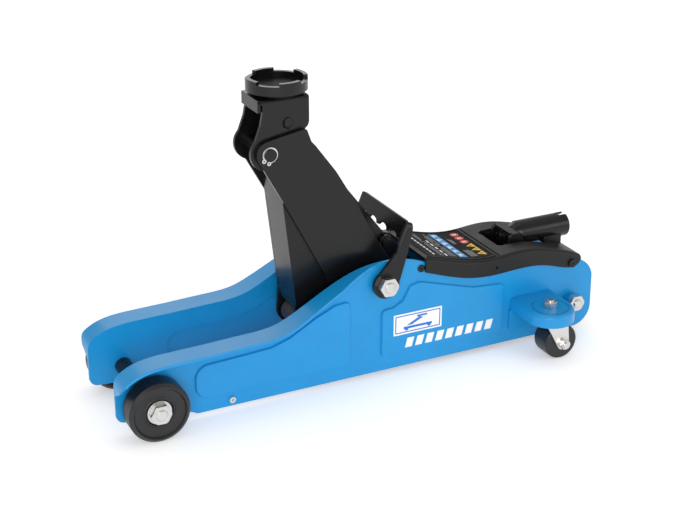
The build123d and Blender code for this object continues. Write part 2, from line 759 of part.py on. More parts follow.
# ---- Top cover --------------------------------------------------------------------------
deck = [(305, 126.3), (313, 125.1), (343.5, 116.7), (369, 111.5), (392.7, 110.7), (416.6, 112.6),
        (435.3, 112.3), (464, 106.8), (489.7, 99.1), (502, 93.4)]
skirt = [(502, 90), (496, 82.6), (480, 83), (455.7, 90.2), (425.2, 93), (393.7, 91.6),
         (362.4, 93.5), (311.8, 108.6), (305, 111)]
opening_front = 409.5
opening_rear = 472.0
opening_half = 23.0
socket_r = 13.5
with BuildPart() as cover:
    with BuildSketch(side()):
        with BuildLine():
            Spline(*deck, tangents=[(1, 0), (1, -0.5)])
            Line(deck[-1], skirt[0])
            Spline(*skirt)
            Line(skirt[-1], deck[0])
        make_face()
    extrude(amount=cover_out, both=True)
    top_edges = [edge for edge in cover.edges() if edge.center().Z > 102 and edge.length > 100]
    fillet(top_edges, 5)
    with BuildSketch(side()):
        with BuildLine():
            Spline(*[(x, z - cover_t) for x, z in deck], tangents=[(1, 0), (1, -0.5)])
            Line((502, 90.4), (502, 60))
            Line((502, 60), (305, 60))
            Line((305, 60), (305, 123.3))
        make_face()
    extrude(amount=plate_out + gap, both=True, mode=Mode.SUBTRACT)
    with BuildSketch(Plane.XY):
        with BuildLine():
            Polyline(
                (front_x + opening_front + 4, -opening_half),
                (front_x + opening_rear, -opening_half),
                (front_x + opening_rear, opening_half),
                (front_x + opening_front + 4, opening_half),
                (front_x + opening_front, opening_half - 3),
                (front_x + opening_front, -opening_half + 3),
                close=True,
            )
        make_face()
        fillet(vertices(), 1.5)
    extrude(amount=150, mode=Mode.SUBTRACT)
    # trough in the deck under the lowered handle socket
    with BuildSketch(Plane.YZ.offset(front_x + opening_rear - 1)):
        with Locations((0, socket_z)):
            Circle(socket_r + gap)
    extrude(amount=40, mode=Mode.SUBTRACT)
    with BuildSketch(side()):
        with Locations(cover_screw_at):
            Circle(screw_r)
    extrude(amount=60, both=True, mode=Mode.SUBTRACT)
    # small drain hole in each skirt
    with BuildSketch(side()):
        with Locations((392.3, 99.6)):
            Circle(1.6)
    extrude(amount=60, both=True, mode=Mode.SUBTRACT)
save("top_cover", cover.part)

screw_head = ring(cover_screw_at, 4.8, 0.9, cover_out, cover_out + 2)
with BuildPart() as cover_screw:
    with BuildSketch(side(-plate_in + 2)):
        with Locations(cover_screw_at):
            Circle(screw_r)
    extrude(amount=cover_out - plate_in + 3)
    add(screw_head)
save("cover_screws", pair(cover_screw.part))


# ---- Handle rest ------------------------------------------------------------------------
rest_front = 475.0
rest_rear = 498.0
with BuildPart() as rest:
    with BuildSketch(side()):
        with BuildLine():
            Line((rest_front, 107), (rest_rear, 107))
            Line((rest_rear, 107), (rest_rear, 94))
            Line((rest_rear, 94), (rest_front, 102))
            Line((rest_front, 102), (rest_front, 107))
        make_face()
    extrude(amount=12.6, both=True)
    with BuildSketch(Plane.YZ.offset(front_x + rest_front)):
        with Locations((0, socket_z)):
            Circle(socket_r + gap)
    extrude(amount=rest_rear - rest_front, mode=Mode.SUBTRACT)
    add(cover.part, mode=Mode.SUBTRACT)
save("handle_rest", rest.part)

# ---- Handle socket and its rocker -------------------------------------------------------
rocker_in = 15.0
rocker_out = 19.0
ear_in = 19.4
roller_at = (459, 91.3)
roller_r = 5.0
block_front = 428.0
block_rear = 438.0
neck_r = 6.0
fork_start = 422.5
with BuildPart() as rocker:
    for y in (-rocker_in, rocker_out):
        with BuildSketch(side(y)):
            with Locations(socket_pivot):
                Circle(9)
            with Locations(roller_at):
                Circle(6)
            make_hull()
            Polygon(
                (422, 97), (426, 117), (430, 121), (438, 121), (441, 117), (450, 98), (440, 88),
                align=None,
            )
        extrude(amount=rocker_out - rocker_in)
    with BuildSketch(side()):
        with Locations(((block_front + block_rear) / 2, 112)):
            Rectangle(block_rear - block_front, 18)
    extrude(amount=rocker_in, both=True)
    with BuildSketch(side()):
        with Locations(roller_at):
            Circle(roller_r)
    extrude(amount=rocker_in, both=True)
    add(pair(ring(socket_pivot, 5, 0.8, rocker_out, 24)))
    with BuildSketch(Plane.YZ.offset(front_x + block_front)):
        with Locations((0, socket_z)):
            Circle(neck_r + run)
    extrude(amount=block_rear - block_front, mode=Mode.SUBTRACT)
save("handle_rocker", rocker.part)

socket_front = 446.0
socket_rear = 509.0
notch_length = 13.0
with BuildPart() as socket:
    with BuildSketch(Plane(origin=(front_x, 0, socket_z), x_dir=(1, 0, 0), z_dir=(0, -1, 0))):
        Polygon(
            (block_front - 0.4, 0), (block_front - 0.4, neck_r), (block_rear + 0.4, neck_r),
            (block_rear + 0.4, 8.5), (socket_front, socket_r), (socket_rear - 0.8, socket_r),
            (socket_rear, socket_r - 0.8), (socket_rear, socket_bore), (socket_front + 5, socket_bore),
            (socket_front + 5, 0), align=None,
        )
    revolve(axis=Axis((front_x, 0, socket_z), (1, 0, 0)))
    # forked end of the neck, which turns the release valve's universal joint
    with BuildSketch(Plane.YZ.offset(front_x + fork_start)):
        with Locations((0, socket_z)):
            Circle(neck_r - 1.5)
            Rectangle(3.6, 14, mode=Mode.SUBTRACT)
    extrude(amount=block_front - fork_start)
    # notch in the top of the open end
    with BuildSketch(Plane.XY.offset(socket_z + 5)):
        with Locations((front_x + socket_rear, 0)):
            SlotOverall(2 * notch_length, 8)
    extrude(amount=20, mode=Mode.SUBTRACT)
save("handle_socket", socket.part)

with BuildPart() as ear:
    with BuildSketch(side(-ear_in)):
        with Locations(socket_pivot):
            Circle(9)
        with Locations((430, 107)):
            Rectangle(18, 5.6)
        make_hull()
        with Locations(socket_pivot):
            Circle(5 + run, mode=Mode.SUBTRACT)
    extrude(amount=4.5)
    with BuildSketch(side(-ear_in)):
        with Locations((430, 108.2)):
            Rectangle(22, 3.4)
    extrude(amount=16)
    add(cover.part, mode=Mode.SUBTRACT)
save("rocker_ears", pair(ear.part))

# ---- Power unit -------------------------------------------------------------------------
# It hangs on the rear tie rod and tilts to follow the ram pin.
block_top = 25.0
block_end = 62.0
block_back = -14.0
cylinder_r = 18.0
cylinder_bore = 14.0
cylinder_end = 178.0
gland_end = 188.0
tank_lift = 2.4
tank_r = 23.0
tank_t = 2.5
tank_end = 150.0
rod_r = 10.0

plunger_reach = 33.0
plunger_r = 6.0
plunger_foot = 0.0
plunger_cap = 38.6
plunger_top = 41.0
sleeve_foot = -4.0
sleeve_r = 9.0
sleeve_top = 28.5

valve_reach = 52.0
valve_r = 4.0
valve_foot = 12.0
valve_top = 48.5

spring_y = 30.0
spring_r = 5.5
spring_start = 78.0
spring_end = 306.0

with BuildPart() as block:
    with BuildSketch(unit_side()):
        with Locations(((block_back + block_end) / 2, 0)):
            RectangleRounded(block_end - block_back, 2 * block_top, 6)
    extrude(amount=block_half, both=True)
    chamfer(block.faces().filter_by(Axis.Y).edges(), 1.5)
    with BuildSketch(unit_side()):
        Circle(tie_r + run)
    extrude(amount=block_half, both=True, mode=Mode.SUBTRACT)
    with BuildSketch(unit_up(plunger_reach, sleeve_foot)):
        Circle(sleeve_r)
    extrude(amount=block_top - sleeve_foot, mode=Mode.SUBTRACT)
    with BuildSketch(unit_up(valve_reach, block_top - 2)):
        RegularPolygon(8, 6)
    extrude(amount=8)
    with BuildSketch(unit_up(valve_reach, valve_foot)):
        Circle(valve_r + run)
    extrude(amount=block_top + 6 - valve_foot, mode=Mode.SUBTRACT)
    # lugs that hold the rear hooks of the return springs
    with BuildSketch(unit_end(block_end)):
        with Locations((-spring_y, 0), (spring_y, 0)):
            Rectangle(10, 12)
    extrude(amount=14)
save("pump_block", block.part)

with BuildPart() as cylinder:
    add(unit_bar(cylinder_r, block_end, cylinder_end))
    add(unit_bar(cylinder_bore, block_end + 4, cylinder_end), mode=Mode.SUBTRACT)
save("hydraulic_cylinder", cylinder.part)

with BuildPart() as gland:
    with BuildSketch(unit_end(cylinder_end)):
        RegularPolygon(cylinder_r, 8)
        Circle(rod_r + run, mode=Mode.SUBTRACT)
    extrude(amount=gland_end - cylinder_end)
    chamfer(gland.edges().group_by(Axis.X)[0].filter_by(GeomType.LINE), 1)
save("gland_nut", gland.part)

with BuildPart() as tank:
    add(unit_bar(tank_r, block_end, tank_end, tank_lift))
    fillet(tank.edges().group_by(Axis.X)[0], 4)
    add(unit_bar(tank_r - tank_t, block_end, tank_end - tank_t, tank_lift), mode=Mode.SUBTRACT)
    add(unit_bar(cylinder_r, block_end, tank_end), mode=Mode.SUBTRACT)
    with BuildSketch(unit_up(106, tank_lift + tank_r - 6)):
        Circle(4.5)
    extrude(amount=10, mode=Mode.SUBTRACT)
save("oil_reservoir", tank.part)

with BuildPart() as filler:
    with BuildSketch(unit_up(106, tank_lift + tank_r - 4)):
        Circle(4.5)
    extrude(amount=5)
    with BuildSketch(unit_up(106, tank_lift + tank_r + 0.5)):
        Circle(7)
    extrude(amount=3)
    chamfer(filler.edges().group_by(Axis.Z)[-1], 0.8)
save("filler_plug", filler.part)

with BuildPart() as sleeve:
    with BuildSketch(unit_up(plunger_reach, sleeve_foot)):
        Circle(sleeve_r)
    extrude(amount=block_top - sleeve_foot)
    with BuildSketch(unit_up(plunger_reach, block_top)):
        RegularPolygon(12, 6)
    extrude(amount=sleeve_top - block_top)
    with BuildSketch(unit_up(plunger_reach, sleeve_foot + 1)):
        Circle(plunger_r + run)
    extrude(amount=sleeve_top - sleeve_foot, mode=Mode.SUBTRACT)
save("pump_sleeve", sleeve.part)

with BuildPart() as plunger:
    with BuildSketch(unit_up(plunger_reach, plunger_foot)):
        Circle(plunger_r)
    extrude(amount=plunger_top - plunger_foot)
    with BuildSketch(unit_up(plunger_reach, plunger_cap)):
        Circle(9.5)
    extrude(amount=plunger_top - plunger_cap)
    chamfer(plunger.edges().filter_by(GeomType.CIRCLE).group_by(Axis.Z)[0], 1)
save("pump_plunger", plunger.part)

with BuildPart() as plunger_spring:
    with BuildSketch(unit_up(plunger_reach, sleeve_top + 0.1)):
        Circle(9)
        Circle(7, mode=Mode.SUBTRACT)
    extrude(amount=plunger_cap - sleeve_top - 0.2)
save("plunger_spring", plunger_spring.part)

with BuildPart() as valve:
    with BuildSketch(unit_up(valve_reach, valve_foot + 0.5)):
        Circle(valve_r)
    extrude(amount=valve_top - valve_foot - 0.5)
    with BuildSketch(unit_up(valve_reach, valve_top - 10)):
        Circle(5.5)
    extrude(amount=10)
    with BuildSketch(unit_up(valve_reach, valve_top - 7)):
        Rectangle(4, 14)
    extrude(amount=8, mode=Mode.SUBTRACT)
    chamfer(valve.edges().filter_by(GeomType.CIRCLE).group_by(Axis.Z)[0], 0.8)
save("release_valve", valve.part)

# ---- Ram --------------------------------------------------------------------------------
piston_start = 168.0
head_r = 12.0
with BuildPart() as ram:
    add(unit_bar(cylinder_bore - run, piston_start, piston_start + 8))
    add(unit_bar(rod_r, piston_start, ram_reach - head_r + 2))
save("ram_rod", ram.part)

with BuildPart() as crosshead:
    with BuildSketch(side()):
        with Locations(ram_pin_at):
            Circle(head_r)
    extrude(amount=18, both=True)
    chamfer(crosshead.edges().filter_by(GeomType.CIRCLE), 1)
    add(unit_bar(rod_r, ram_reach - 40, ram_reach - head_r + 2), mode=Mode.SUBTRACT)
save("crosshead", crosshead.part)

# ---- Return springs ---------------------------------------------------------------------
spring = unit_bar(spring_r, spring_start, spring_end, bore=spring_r - 2)
with BuildPart() as springs:
    with Locations((0, -spring_y, 0), (0, spring_y, 0)):
        add(spring)
save("return_springs", springs.part)
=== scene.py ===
import json
import math

import bpy
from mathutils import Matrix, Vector
from mathutils.bvhtree import BVHTree


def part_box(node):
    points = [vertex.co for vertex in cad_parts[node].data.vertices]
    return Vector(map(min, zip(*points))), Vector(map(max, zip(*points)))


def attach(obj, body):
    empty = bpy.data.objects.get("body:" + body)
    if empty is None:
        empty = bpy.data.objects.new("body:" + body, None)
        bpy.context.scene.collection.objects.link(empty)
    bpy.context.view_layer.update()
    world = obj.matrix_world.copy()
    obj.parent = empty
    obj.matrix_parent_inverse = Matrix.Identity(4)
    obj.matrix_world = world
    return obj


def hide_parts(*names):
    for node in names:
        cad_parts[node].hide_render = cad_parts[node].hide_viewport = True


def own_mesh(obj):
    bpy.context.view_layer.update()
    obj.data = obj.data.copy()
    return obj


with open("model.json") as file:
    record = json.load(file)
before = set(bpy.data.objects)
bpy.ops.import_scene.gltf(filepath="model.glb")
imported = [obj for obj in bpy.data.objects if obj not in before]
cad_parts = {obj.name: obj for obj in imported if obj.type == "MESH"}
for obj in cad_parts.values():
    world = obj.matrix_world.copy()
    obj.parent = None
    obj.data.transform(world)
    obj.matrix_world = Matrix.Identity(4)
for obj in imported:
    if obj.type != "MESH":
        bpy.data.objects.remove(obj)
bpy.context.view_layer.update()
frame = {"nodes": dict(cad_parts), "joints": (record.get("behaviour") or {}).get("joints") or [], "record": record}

# ---- Places taken from the frame ------------------------------------------------------------
JOINTS = {joint["name"]: joint for joint in frame["joints"]}
NODES = frame["nodes"]
UNIT_AT = Vector(JOINTS["power_unit_tilt"]["pos_m"])
RAM_AXIS = Vector(JOINTS["ram_slide"]["axis"]).normalized()
UNIT_UP = Vector(JOINTS["plunger_slide"]["axis"]).normalized()


def middle(node):
    low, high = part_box(node)
    return (Vector(low) + Vector(high)) / 2


# ---- Materials ----------------------------------------------------------------------------------
def new_material(name):
    material = bpy.data.materials.new(name)
    material.use_nodes = True
    return material, material.node_tree.nodes, material.node_tree.links


def noise(nodes, links, source, scale, detail=3.0, rough=0.55, stretch=(1, 1, 1)):
    """Noise on object coordinates, stretched by a scale per axis. Returns its value socket."""
    mapping = nodes.new("ShaderNodeMapping")
    mapping.inputs["Scale"].default_value = stretch
    links.new(source, mapping.inputs["Vector"])
    texture = nodes.new("ShaderNodeTexNoise")
    texture.inputs["Scale"].default_value = scale
    texture.inputs["Detail"].default_value = detail
    texture.inputs["Roughness"].default_value = rough
    links.new(mapping.outputs["Vector"], texture.inputs["Vector"])
    return texture.outputs["Fac"]


def span(nodes, links, value, low, high, start=0.0, end=1.0):
    """Maps low..high of a value to start..end, clamped. Returns the result socket."""
    mapped = nodes.new("ShaderNodeMapRange")
    mapped.inputs["From Min"].default_value = low
    mapped.inputs["From Max"].default_value = high
    mapped.inputs["To Min"].default_value = start
    mapped.inputs["To Max"].default_value = end
    links.new(value, mapped.inputs["Value"])
    return mapped.outputs["Result"]


def math_node(nodes, links, operation, first, second):
    node = nodes.new("ShaderNodeMath")
    node.operation = operation
    for socket, value in zip(node.inputs, (first, second)):
        if isinstance(value, (int, float)):
            socket.default_value = value
        else:
            links.new(value, socket)
    return node.outputs["Value"]


def mix_colour(nodes, links, factor, first, second):
    node = nodes.new("ShaderNodeMix")
    node.data_type = "RGBA"
    links.new(factor, node.inputs["Factor"])
    for socket, value in ((node.inputs[6], first), (node.inputs[7], second)):
        if isinstance(value, tuple):
            socket.default_value = value
        else:
            links.new(value, socket)
    return node.outputs[2]


def rgba(colour, gain=1.0):
    return (colour[0] * gain, colour[1] * gain, colour[2] * gain, 1.0)


def edge_mask(nodes, links, radius):
    """1 on edges sharper than a radius, 0 on flat faces; also returns the rounded normal."""
    bevel = nodes.new("ShaderNodeBevel")
    bevel.samples = 4
    bevel.inputs["Radius"].default_value = radius
    geometry = nodes.new("ShaderNodeNewGeometry")
    dot = nodes.new("ShaderNodeVectorMath")
    dot.operation = "DOT_PRODUCT"
    links.new(bevel.outputs["Normal"], dot.inputs[0])
    links.new(geometry.outputs["Normal"], dot.inputs[1])
    return span(nodes, links, dot.outputs["Value"], 0.99, 0.80), bevel.outputs["Normal"]


def surface(
    name, colour, rough, metallic=0.0, coat=0.0, coat_rough=0.1, peel=0.0, peel_scale=900.0,
    tint=0.12, wear=None, wear_amount=0.0, edge=0.0006, scratch=0.0, brushed=None, specular=0.5,
):
    """Finish with tint and gloss variation, grain or orange peel, worn edges and fine scratches."""
    material, nodes, links = new_material(name)
    shader = nodes["Principled BSDF"]
    shader.inputs["Metallic"].default_value = metallic
    shader.inputs["Coat Weight"].default_value = coat
    shader.inputs["Coat Roughness"].default_value = coat_rough
    shader.inputs["Specular IOR Level"].default_value = specular
    place = nodes.new("ShaderNodeTexCoord").outputs["Object"]
    broad = noise(nodes, links, place, 22.0, 4.0)
    fine = noise(nodes, links, place, 260.0, 2.0)
    streaks = noise(nodes, links, place, 30.0, 2.0, 0.5, (2.0, 9.0, 55.0))
    blend = span(nodes, links, broad, 0.35, 0.65)
    base = mix_colour(nodes, links, blend, rgba(colour, 1 - tint), rgba(colour, 1 + tint))
    gloss = span(nodes, links, broad, 0.3, 0.7, rough * 0.85, min(1.0, rough * 1.2))
    mask, rounded = edge_mask(nodes, links, edge)
    if wear:
        patchy = span(nodes, links, fine, 0.42, 0.62, 0.0, wear_amount)
        worn = math_node(nodes, links, "MULTIPLY", mask, patchy)
        base = mix_colour(nodes, links, worn, base, rgba(wear))
    if scratch:
        lines = span(nodes, links, streaks, 0.665, 0.70, 0.0, scratch)
        base = mix_colour(nodes, links, lines, base, rgba(colour, 1.8))
        gloss = math_node(nodes, links, "ADD", gloss, math_node(nodes, links, "MULTIPLY", lines, 0.25))
    links.new(base, shader.inputs["Base Color"])
    links.new(gloss, shader.inputs["Roughness"])
    height = noise(nodes, links, place, peel_scale, 2.0)
    if brushed:
        height = noise(nodes, links, place, 60.0, 2.0, 0.6, brushed)
    bump = nodes.new("ShaderNodeBump")
    bump.inputs["Strength"].default_value = peel
    bump.inputs["Distance"].default_value = 0.0004
    links.new(height, bump.inputs["Height"])
    links.new(rounded, bump.inputs["Normal"])
    links.new(bump.outputs["Normal"], shader.inputs["Normal"])
    return material


BLUE = (0.005, 0.265, 0.60)
BLACK = (0.0045, 0.0045, 0.0048)
STEEL = (0.62, 0.60, 0.57)

MATERIALS = {
    "blue_paint": surface(
        "blue_powder_coat", BLUE, 0.38, coat=0.15, coat_rough=0.2, peel=0.10, peel_scale=700,
        tint=0.035, wear=(0.06, 0.36, 0.70), wear_amount=0.5, scratch=0.08, specular=0.35,
    ),
    "black_paint": surface(
        "black_gloss_paint", BLACK, 0.26, coat=0.08, coat_rough=0.08, peel=0.05, peel_scale=600,
        tint=0.10, wear=(0.05, 0.05, 0.052), wear_amount=0.6, scratch=0.2, specular=0.30,
    ),
    "black_wheel": surface(
        "black_cast_wheel", (0.010, 0.010, 0.0105), 0.42, peel=0.25, peel_scale=1100, tint=0.2,
        wear=(0.06, 0.06, 0.06), wear_amount=0.6, scratch=0.2,
    ),
    "zinc": surface(
        "zinc_plate", (0.66, 0.65, 0.63), 0.30, metallic=1.0, peel=0.12, peel_scale=500, tint=0.08,
        wear=(0.9, 0.9, 0.9), wear_amount=0.5,
    ),
    "steel": surface(
        "turned_steel", STEEL, 0.28, metallic=1.0, peel=0.15, tint=0.06, brushed=(1.0, 30.0, 1.0),
    ),
    "hard_chrome": surface(
        "hard_chrome", (0.78, 0.78, 0.80), 0.08, metallic=1.0, peel=0.03, tint=0.02,
    ),
    "grey_cast": surface(
        "painted_casting", (0.035, 0.036, 0.038), 0.55, peel=0.6, peel_scale=420, tint=0.2,
        wear=(0.2, 0.2, 0.2), wear_amount=0.6,
    ),
    "black_plastic": surface(
        "moulded_black", (0.008, 0.008, 0.0084), 0.40, peel=0.35, peel_scale=1500, tint=0.06,
        wear=(0.05, 0.05, 0.05), wear_amount=0.4, specular=0.30,
    ),
    "spring_steel": surface(
        "oiled_spring_steel", (0.17, 0.17, 0.175), 0.35, metallic=1.0, peel=0.1, tint=0.15,
    ),
    "caster_roller": surface(
        "caster_nylon", (0.010, 0.010, 0.0105), 0.38, peel=0.2, peel_scale=1300, tint=0.15,
        wear=(0.05, 0.05, 0.05), wear_amount=0.5,
    ),
}
MARKS = {
    "white_ink": surface("white_print", (0.86, 0.86, 0.86), 0.45, peel=0.02, tint=0.02),
    "blue_ink": surface("blue_print", (0.02, 0.16, 0.62), 0.45, peel=0.02, tint=0.02),
    "sky_ink": surface("sky_blue_print", (0.02, 0.30, 0.72), 0.45, peel=0.02, tint=0.02),
    "grey_ink": surface("grey_print", (0.40, 0.40, 0.40), 0.45, peel=0.02, tint=0.02),
    "yellow_ink": surface("yellow_print", (0.85, 0.55, 0.02), 0.45, peel=0.02, tint=0.02),
    "red_ink": surface("red_print", (0.62, 0.03, 0.02), 0.45, peel=0.02, tint=0.02),
    # Black film: the warning plate's own black and print, and also painted shade in the saddle cup and around the
    # link pin ends
    "black_film_and_painted_shade": surface("black_film_and_painted_shade", (0.0015, 0.0015, 0.0016), 0.55, peel=0.03, tint=0.04, specular=0.12),
}

SLOTS = {entry["node"]: entry["material_slot"] for entry in frame["record"]["subparts"]}
for node, obj in NODES.items():
    for index in range(max(1, len(obj.material_slots))):
        if not obj.material_slots:
            obj.data.materials.append(None)
        obj.material_slots[index].material = MATERIALS[SLOTS[node]]


# ---- Making pieces ------------------------------------------------------------------------------
def piece(name, verts, faces, body, material):
    """New piece from points and faces in the row frame, riding on a body."""
    mesh = bpy.data.meshes.new(name)
    mesh.from_pydata([tuple(v) for v in verts], [], faces)
    mesh.update()
    obj = bpy.data.objects.new(name, mesh)
    bpy.context.scene.collection.objects.link(obj)
    obj.data.materials.append(material)
    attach(obj, body)
    return obj


def smooth(obj):
    for polygon in obj.data.polygons:
        polygon.use_smooth = True
    return obj


def tube(path, radius, sides=10):
    """Points and faces of a closed round tube along a list of points."""
    verts = []
    faces = []
    count = len(path)
    for i, at in enumerate(path):
        ahead = path[min(i + 1, count - 1)] - path[max(i - 1, 0)]
        ahead.normalize()
        across = ahead.cross(Vector((0, 0, 1)))
        if across.length < 0.05:
            across = ahead.cross(Vector((0, 1, 0)))
        across.normalize()
        other = ahead.cross(across)
        for k in range(sides):
            turn = 2 * math.pi * k / sides
            verts.append(at + across * (radius * math.cos(turn)) + other * (radius * math.sin(turn)))
    for i in range(count - 1):
        for k in range(sides):
            a = i * sides + k
            b = i * sides + (k + 1) % sides
            faces.append((a, b, b + sides, a + sides))
    faces.append(tuple(range(sides - 1, -1, -1)))
    faces.append(tuple(range((count - 1) * sides, count * sides)))
    return verts, faces


def helix(start, axis, length, radius, turns, wire, steps=14):
    """Points and faces of a coil spring from start along axis, with a straight lead at both ends."""
    axis = axis.normalized()
    across = axis.cross(Vector((0, 1, 0))).normalized()
    other = axis.cross(across)
    lead = radius * 1.6
    path = [start]
    count = int(turns * steps)
    for i in range(count + 1):
        turn = 2 * math.pi * i / steps
        along = lead + (length - 2 * lead) * i / count
        spoke = across * math.cos(turn) + other * math.sin(turn)
        path.append(start + axis * along + spoke * radius)
    path.append(start + axis * length)
    return tube(path, wire, 7)


def surface_tree(node):
    mesh = NODES[node].data
    matrix = NODES[node].matrix_world
    points = [matrix @ vertex.co for vertex in mesh.vertices]
    return BVHTree.FromPolygons(points, [tuple(face.vertices) for face in mesh.polygons])


def patch(name, outline_box, columns, rows, place, thickness, body, material, inside=None):
    """Thin film over a rectangle: place(u, v, height) gives a point at a height off the surface."""
    u0, v0, u1, v1 = outline_box
    verts = []
    for height in (0.0, thickness):
        for row in range(rows + 1):
            for column in range(columns + 1):
                u = u0 + (u1 - u0) * column / columns
                v = v0 + (v1 - v0) * row / rows
                if inside:
                    u, v = inside(u, v)
                verts.append(place(u, v, height))
    wide = columns + 1
    layer = wide * (rows + 1)
    faces = []
    for row in range(rows):
        for column in range(columns):
            a = row * wide + column
            faces.append((a, a + wide, a + wide + 1, a + 1))
            faces.append((a + layer, a + layer + 1, a + layer + wide + 1, a + layer + wide))
    rim = list(range(columns)) + [r * wide + columns for r in range(rows)]
    rim += [rows * wide + c for c in range(columns, 0, -1)] + [r * wide for r in range(rows, 0, -1)]
    for i, a in enumerate(rim):
        b = rim[(i + 1) % len(rim)]
        faces.append((a, b, b + layer, a + layer))
    return piece(name, verts, faces, body, material)


def film(name, points, place, base, thickness, body, material):
    """Thin film with a polygon outline, its points given as (u, v)."""
    count = len(points)
    verts = [place(u, v, base) for u, v in points] + [place(u, v, base + thickness) for u, v in points]
    faces = [tuple(range(count - 1, -1, -1)), tuple(range(count, 2 * count))]
    faces += [(i, (i + 1) % count, (i + 1) % count + count, i + count) for i in range(count)]
    return piece(name, verts, faces, body, material)


def disc(centre, radius, count=24, squeeze=1.0):
    return [
        (centre[0] + radius * math.cos(2 * math.pi * i / count),
         centre[1] + squeeze * radius * math.sin(2 * math.pi * i / count))
        for i in range(count)
    ]


def bar(u0, v0, u1, v1, lean=0.0):
    return [(u0, v0), (u1, v0), (u1 + lean, v1), (u0 + lean, v1)]


# ---- Side labels: a white panel with a plain jack symbol, and a row of slanted bars --------------
FRONT_AXLE_X = JOINTS["front_wheel_left_roll"]["pos_m"][0]
LABEL_FILM = 0.00025
SKIN_GAP = 0.00002             # a film stands this far off the surface under it
BAR_COUNT = 9
BAR_START = 0.282
BAR_PITCH = 0.0122
BAR_WIDTH = 0.0082
BAR_LOW = 0.0285
BAR_HIGH = 0.0395
BAR_LEAN = 0.0030


def side_place(sign):
    """Places points over a side plate's rear panel: u back from the front axle, v above the floor."""
    tree = surface_tree("side_plate_left" if sign < 0 else "side_plate_right")
    start = Vector((FRONT_AXLE_X + 0.330, sign * 0.3, 0.045))
    hit = tree.ray_cast(start, Vector((0, -sign, 0)))[0]
    face_y = hit.y

    def place(u, v, height):
        return Vector((FRONT_AXLE_X + u, face_y + sign * (height + SKIN_GAP), v))

    return place


for side_name, sign in (("left", -1), ("right", 1)):
    place = side_place(sign)
    film(f"label_panel_{side_name}", bar(0.268, 0.0445, 0.326, 0.0685), place, 0, LABEL_FILM,
         "chassis", MARKS["white_ink"])
    edges = (
        bar(0.2700, 0.0465, 0.3240, 0.0475),
        bar(0.2700, 0.0655, 0.3240, 0.0665),
        bar(0.2700, 0.0475, 0.2710, 0.0655),
        bar(0.3230, 0.0475, 0.3240, 0.0655),
    )
    for number, edge_points in enumerate(edges):
        film(f"label_border_{side_name}_{number}", edge_points, place, LABEL_FILM, LABEL_FILM,
             "chassis", MARKS["blue_ink"])
    symbol = (
        bar(0.280, 0.0505, 0.314, 0.0530),
        [(0.284, 0.0545), (0.290, 0.0545), (0.303, 0.0605), (0.299, 0.0620)],
        bar(0.296, 0.0622, 0.308, 0.0640),
        disc((0.2835, 0.0505), 0.0021),
        disc((0.3105, 0.0505), 0.0021),
    )
    for number, outline in enumerate(symbol):
        film(f"label_symbol_{side_name}_{number}", outline, place, LABEL_FILM + 0.00003 * number,
             LABEL_FILM, "chassis", MARKS["blue_ink"])
    for number in range(BAR_COUNT):
        start = BAR_START + BAR_PITCH * number
        outline = bar(start, BAR_LOW, start + BAR_WIDTH, BAR_HIGH, BAR_LEAN)
        film(f"side_bar_{side_name}_{number}", outline, place,
             0, LABEL_FILM, "chassis", MARKS["white_ink"])

# ---- Warning plate on the cover: pictograms and ruled lines, no lettering -------------------------
RAY_START = 0.2                # above the whole cover
deck_tree = surface_tree("top_cover")


def deck_place(u, v, height):
    hit = deck_tree.ray_cast(Vector((FRONT_AXLE_X + u, v, RAY_START)), Vector((0, 0, -1)))
    return hit[0] + Vector((0, 0, height + 0.00003))


PLATE_FRONT = 0.3125
PLATE_REAR = 0.3915
PLATE_HALF = 0.0385
PLATE_CORNER = 0.004
PLATE_FILM = 0.0004
MARK_FILM = 0.00018
LAYER_STEP = 0.00012


def rounded(u, v):
    """Pulls the plate's corners in."""
    du = max(0.0, PLATE_FRONT + PLATE_CORNER - u) + max(0.0, u - PLATE_REAR + PLATE_CORNER)
    dv = max(0.0, abs(v) - PLATE_HALF + PLATE_CORNER)
    reach = math.hypot(du, dv)
    if du > 0 and dv > 0 and reach > PLATE_CORNER:
        pull = PLATE_CORNER / reach
        u += (1 - pull) * du * (1 if u < (PLATE_FRONT + PLATE_REAR) / 2 else -1)
        v -= (1 - pull) * dv * math.copysign(1, v)
    return u, v


patch("warning_plate", (PLATE_FRONT, -PLATE_HALF, PLATE_REAR, PLATE_HALF), 40, 34, deck_place, PLATE_FILM,
      "chassis", MARKS["black_film_and_painted_shade"], rounded)
RIDGES = {
    "deck_ridge_rear": (0.3930, -0.0410, 0.3950, 0.0410, 2, 12),
    "deck_ridge_back": (0.3975, -0.0410, 0.3990, 0.0410, 2, 12),
    "deck_ridge_left": (0.3100, -0.0418, 0.3930, -0.0404, 40, 1),
    "deck_ridge_right": (0.3100, 0.0404, 0.3930, 0.0418, 40, 1),
}
RIDGE_HEIGHT = 0.0009
for ridge_name, (u0, v0, u1, v1, columns, rows) in RIDGES.items():
    patch(ridge_name, (u0, v0, u1, v1), columns, rows, deck_place, RIDGE_HEIGHT,
          "chassis", MATERIALS["black_plastic"])


def deck_mark(name, outline, ink, layer=1):
    film(name, outline, deck_place, PLATE_FILM + LAYER_STEP * (layer - 1), MARK_FILM,
         "chassis", MARKS[ink])


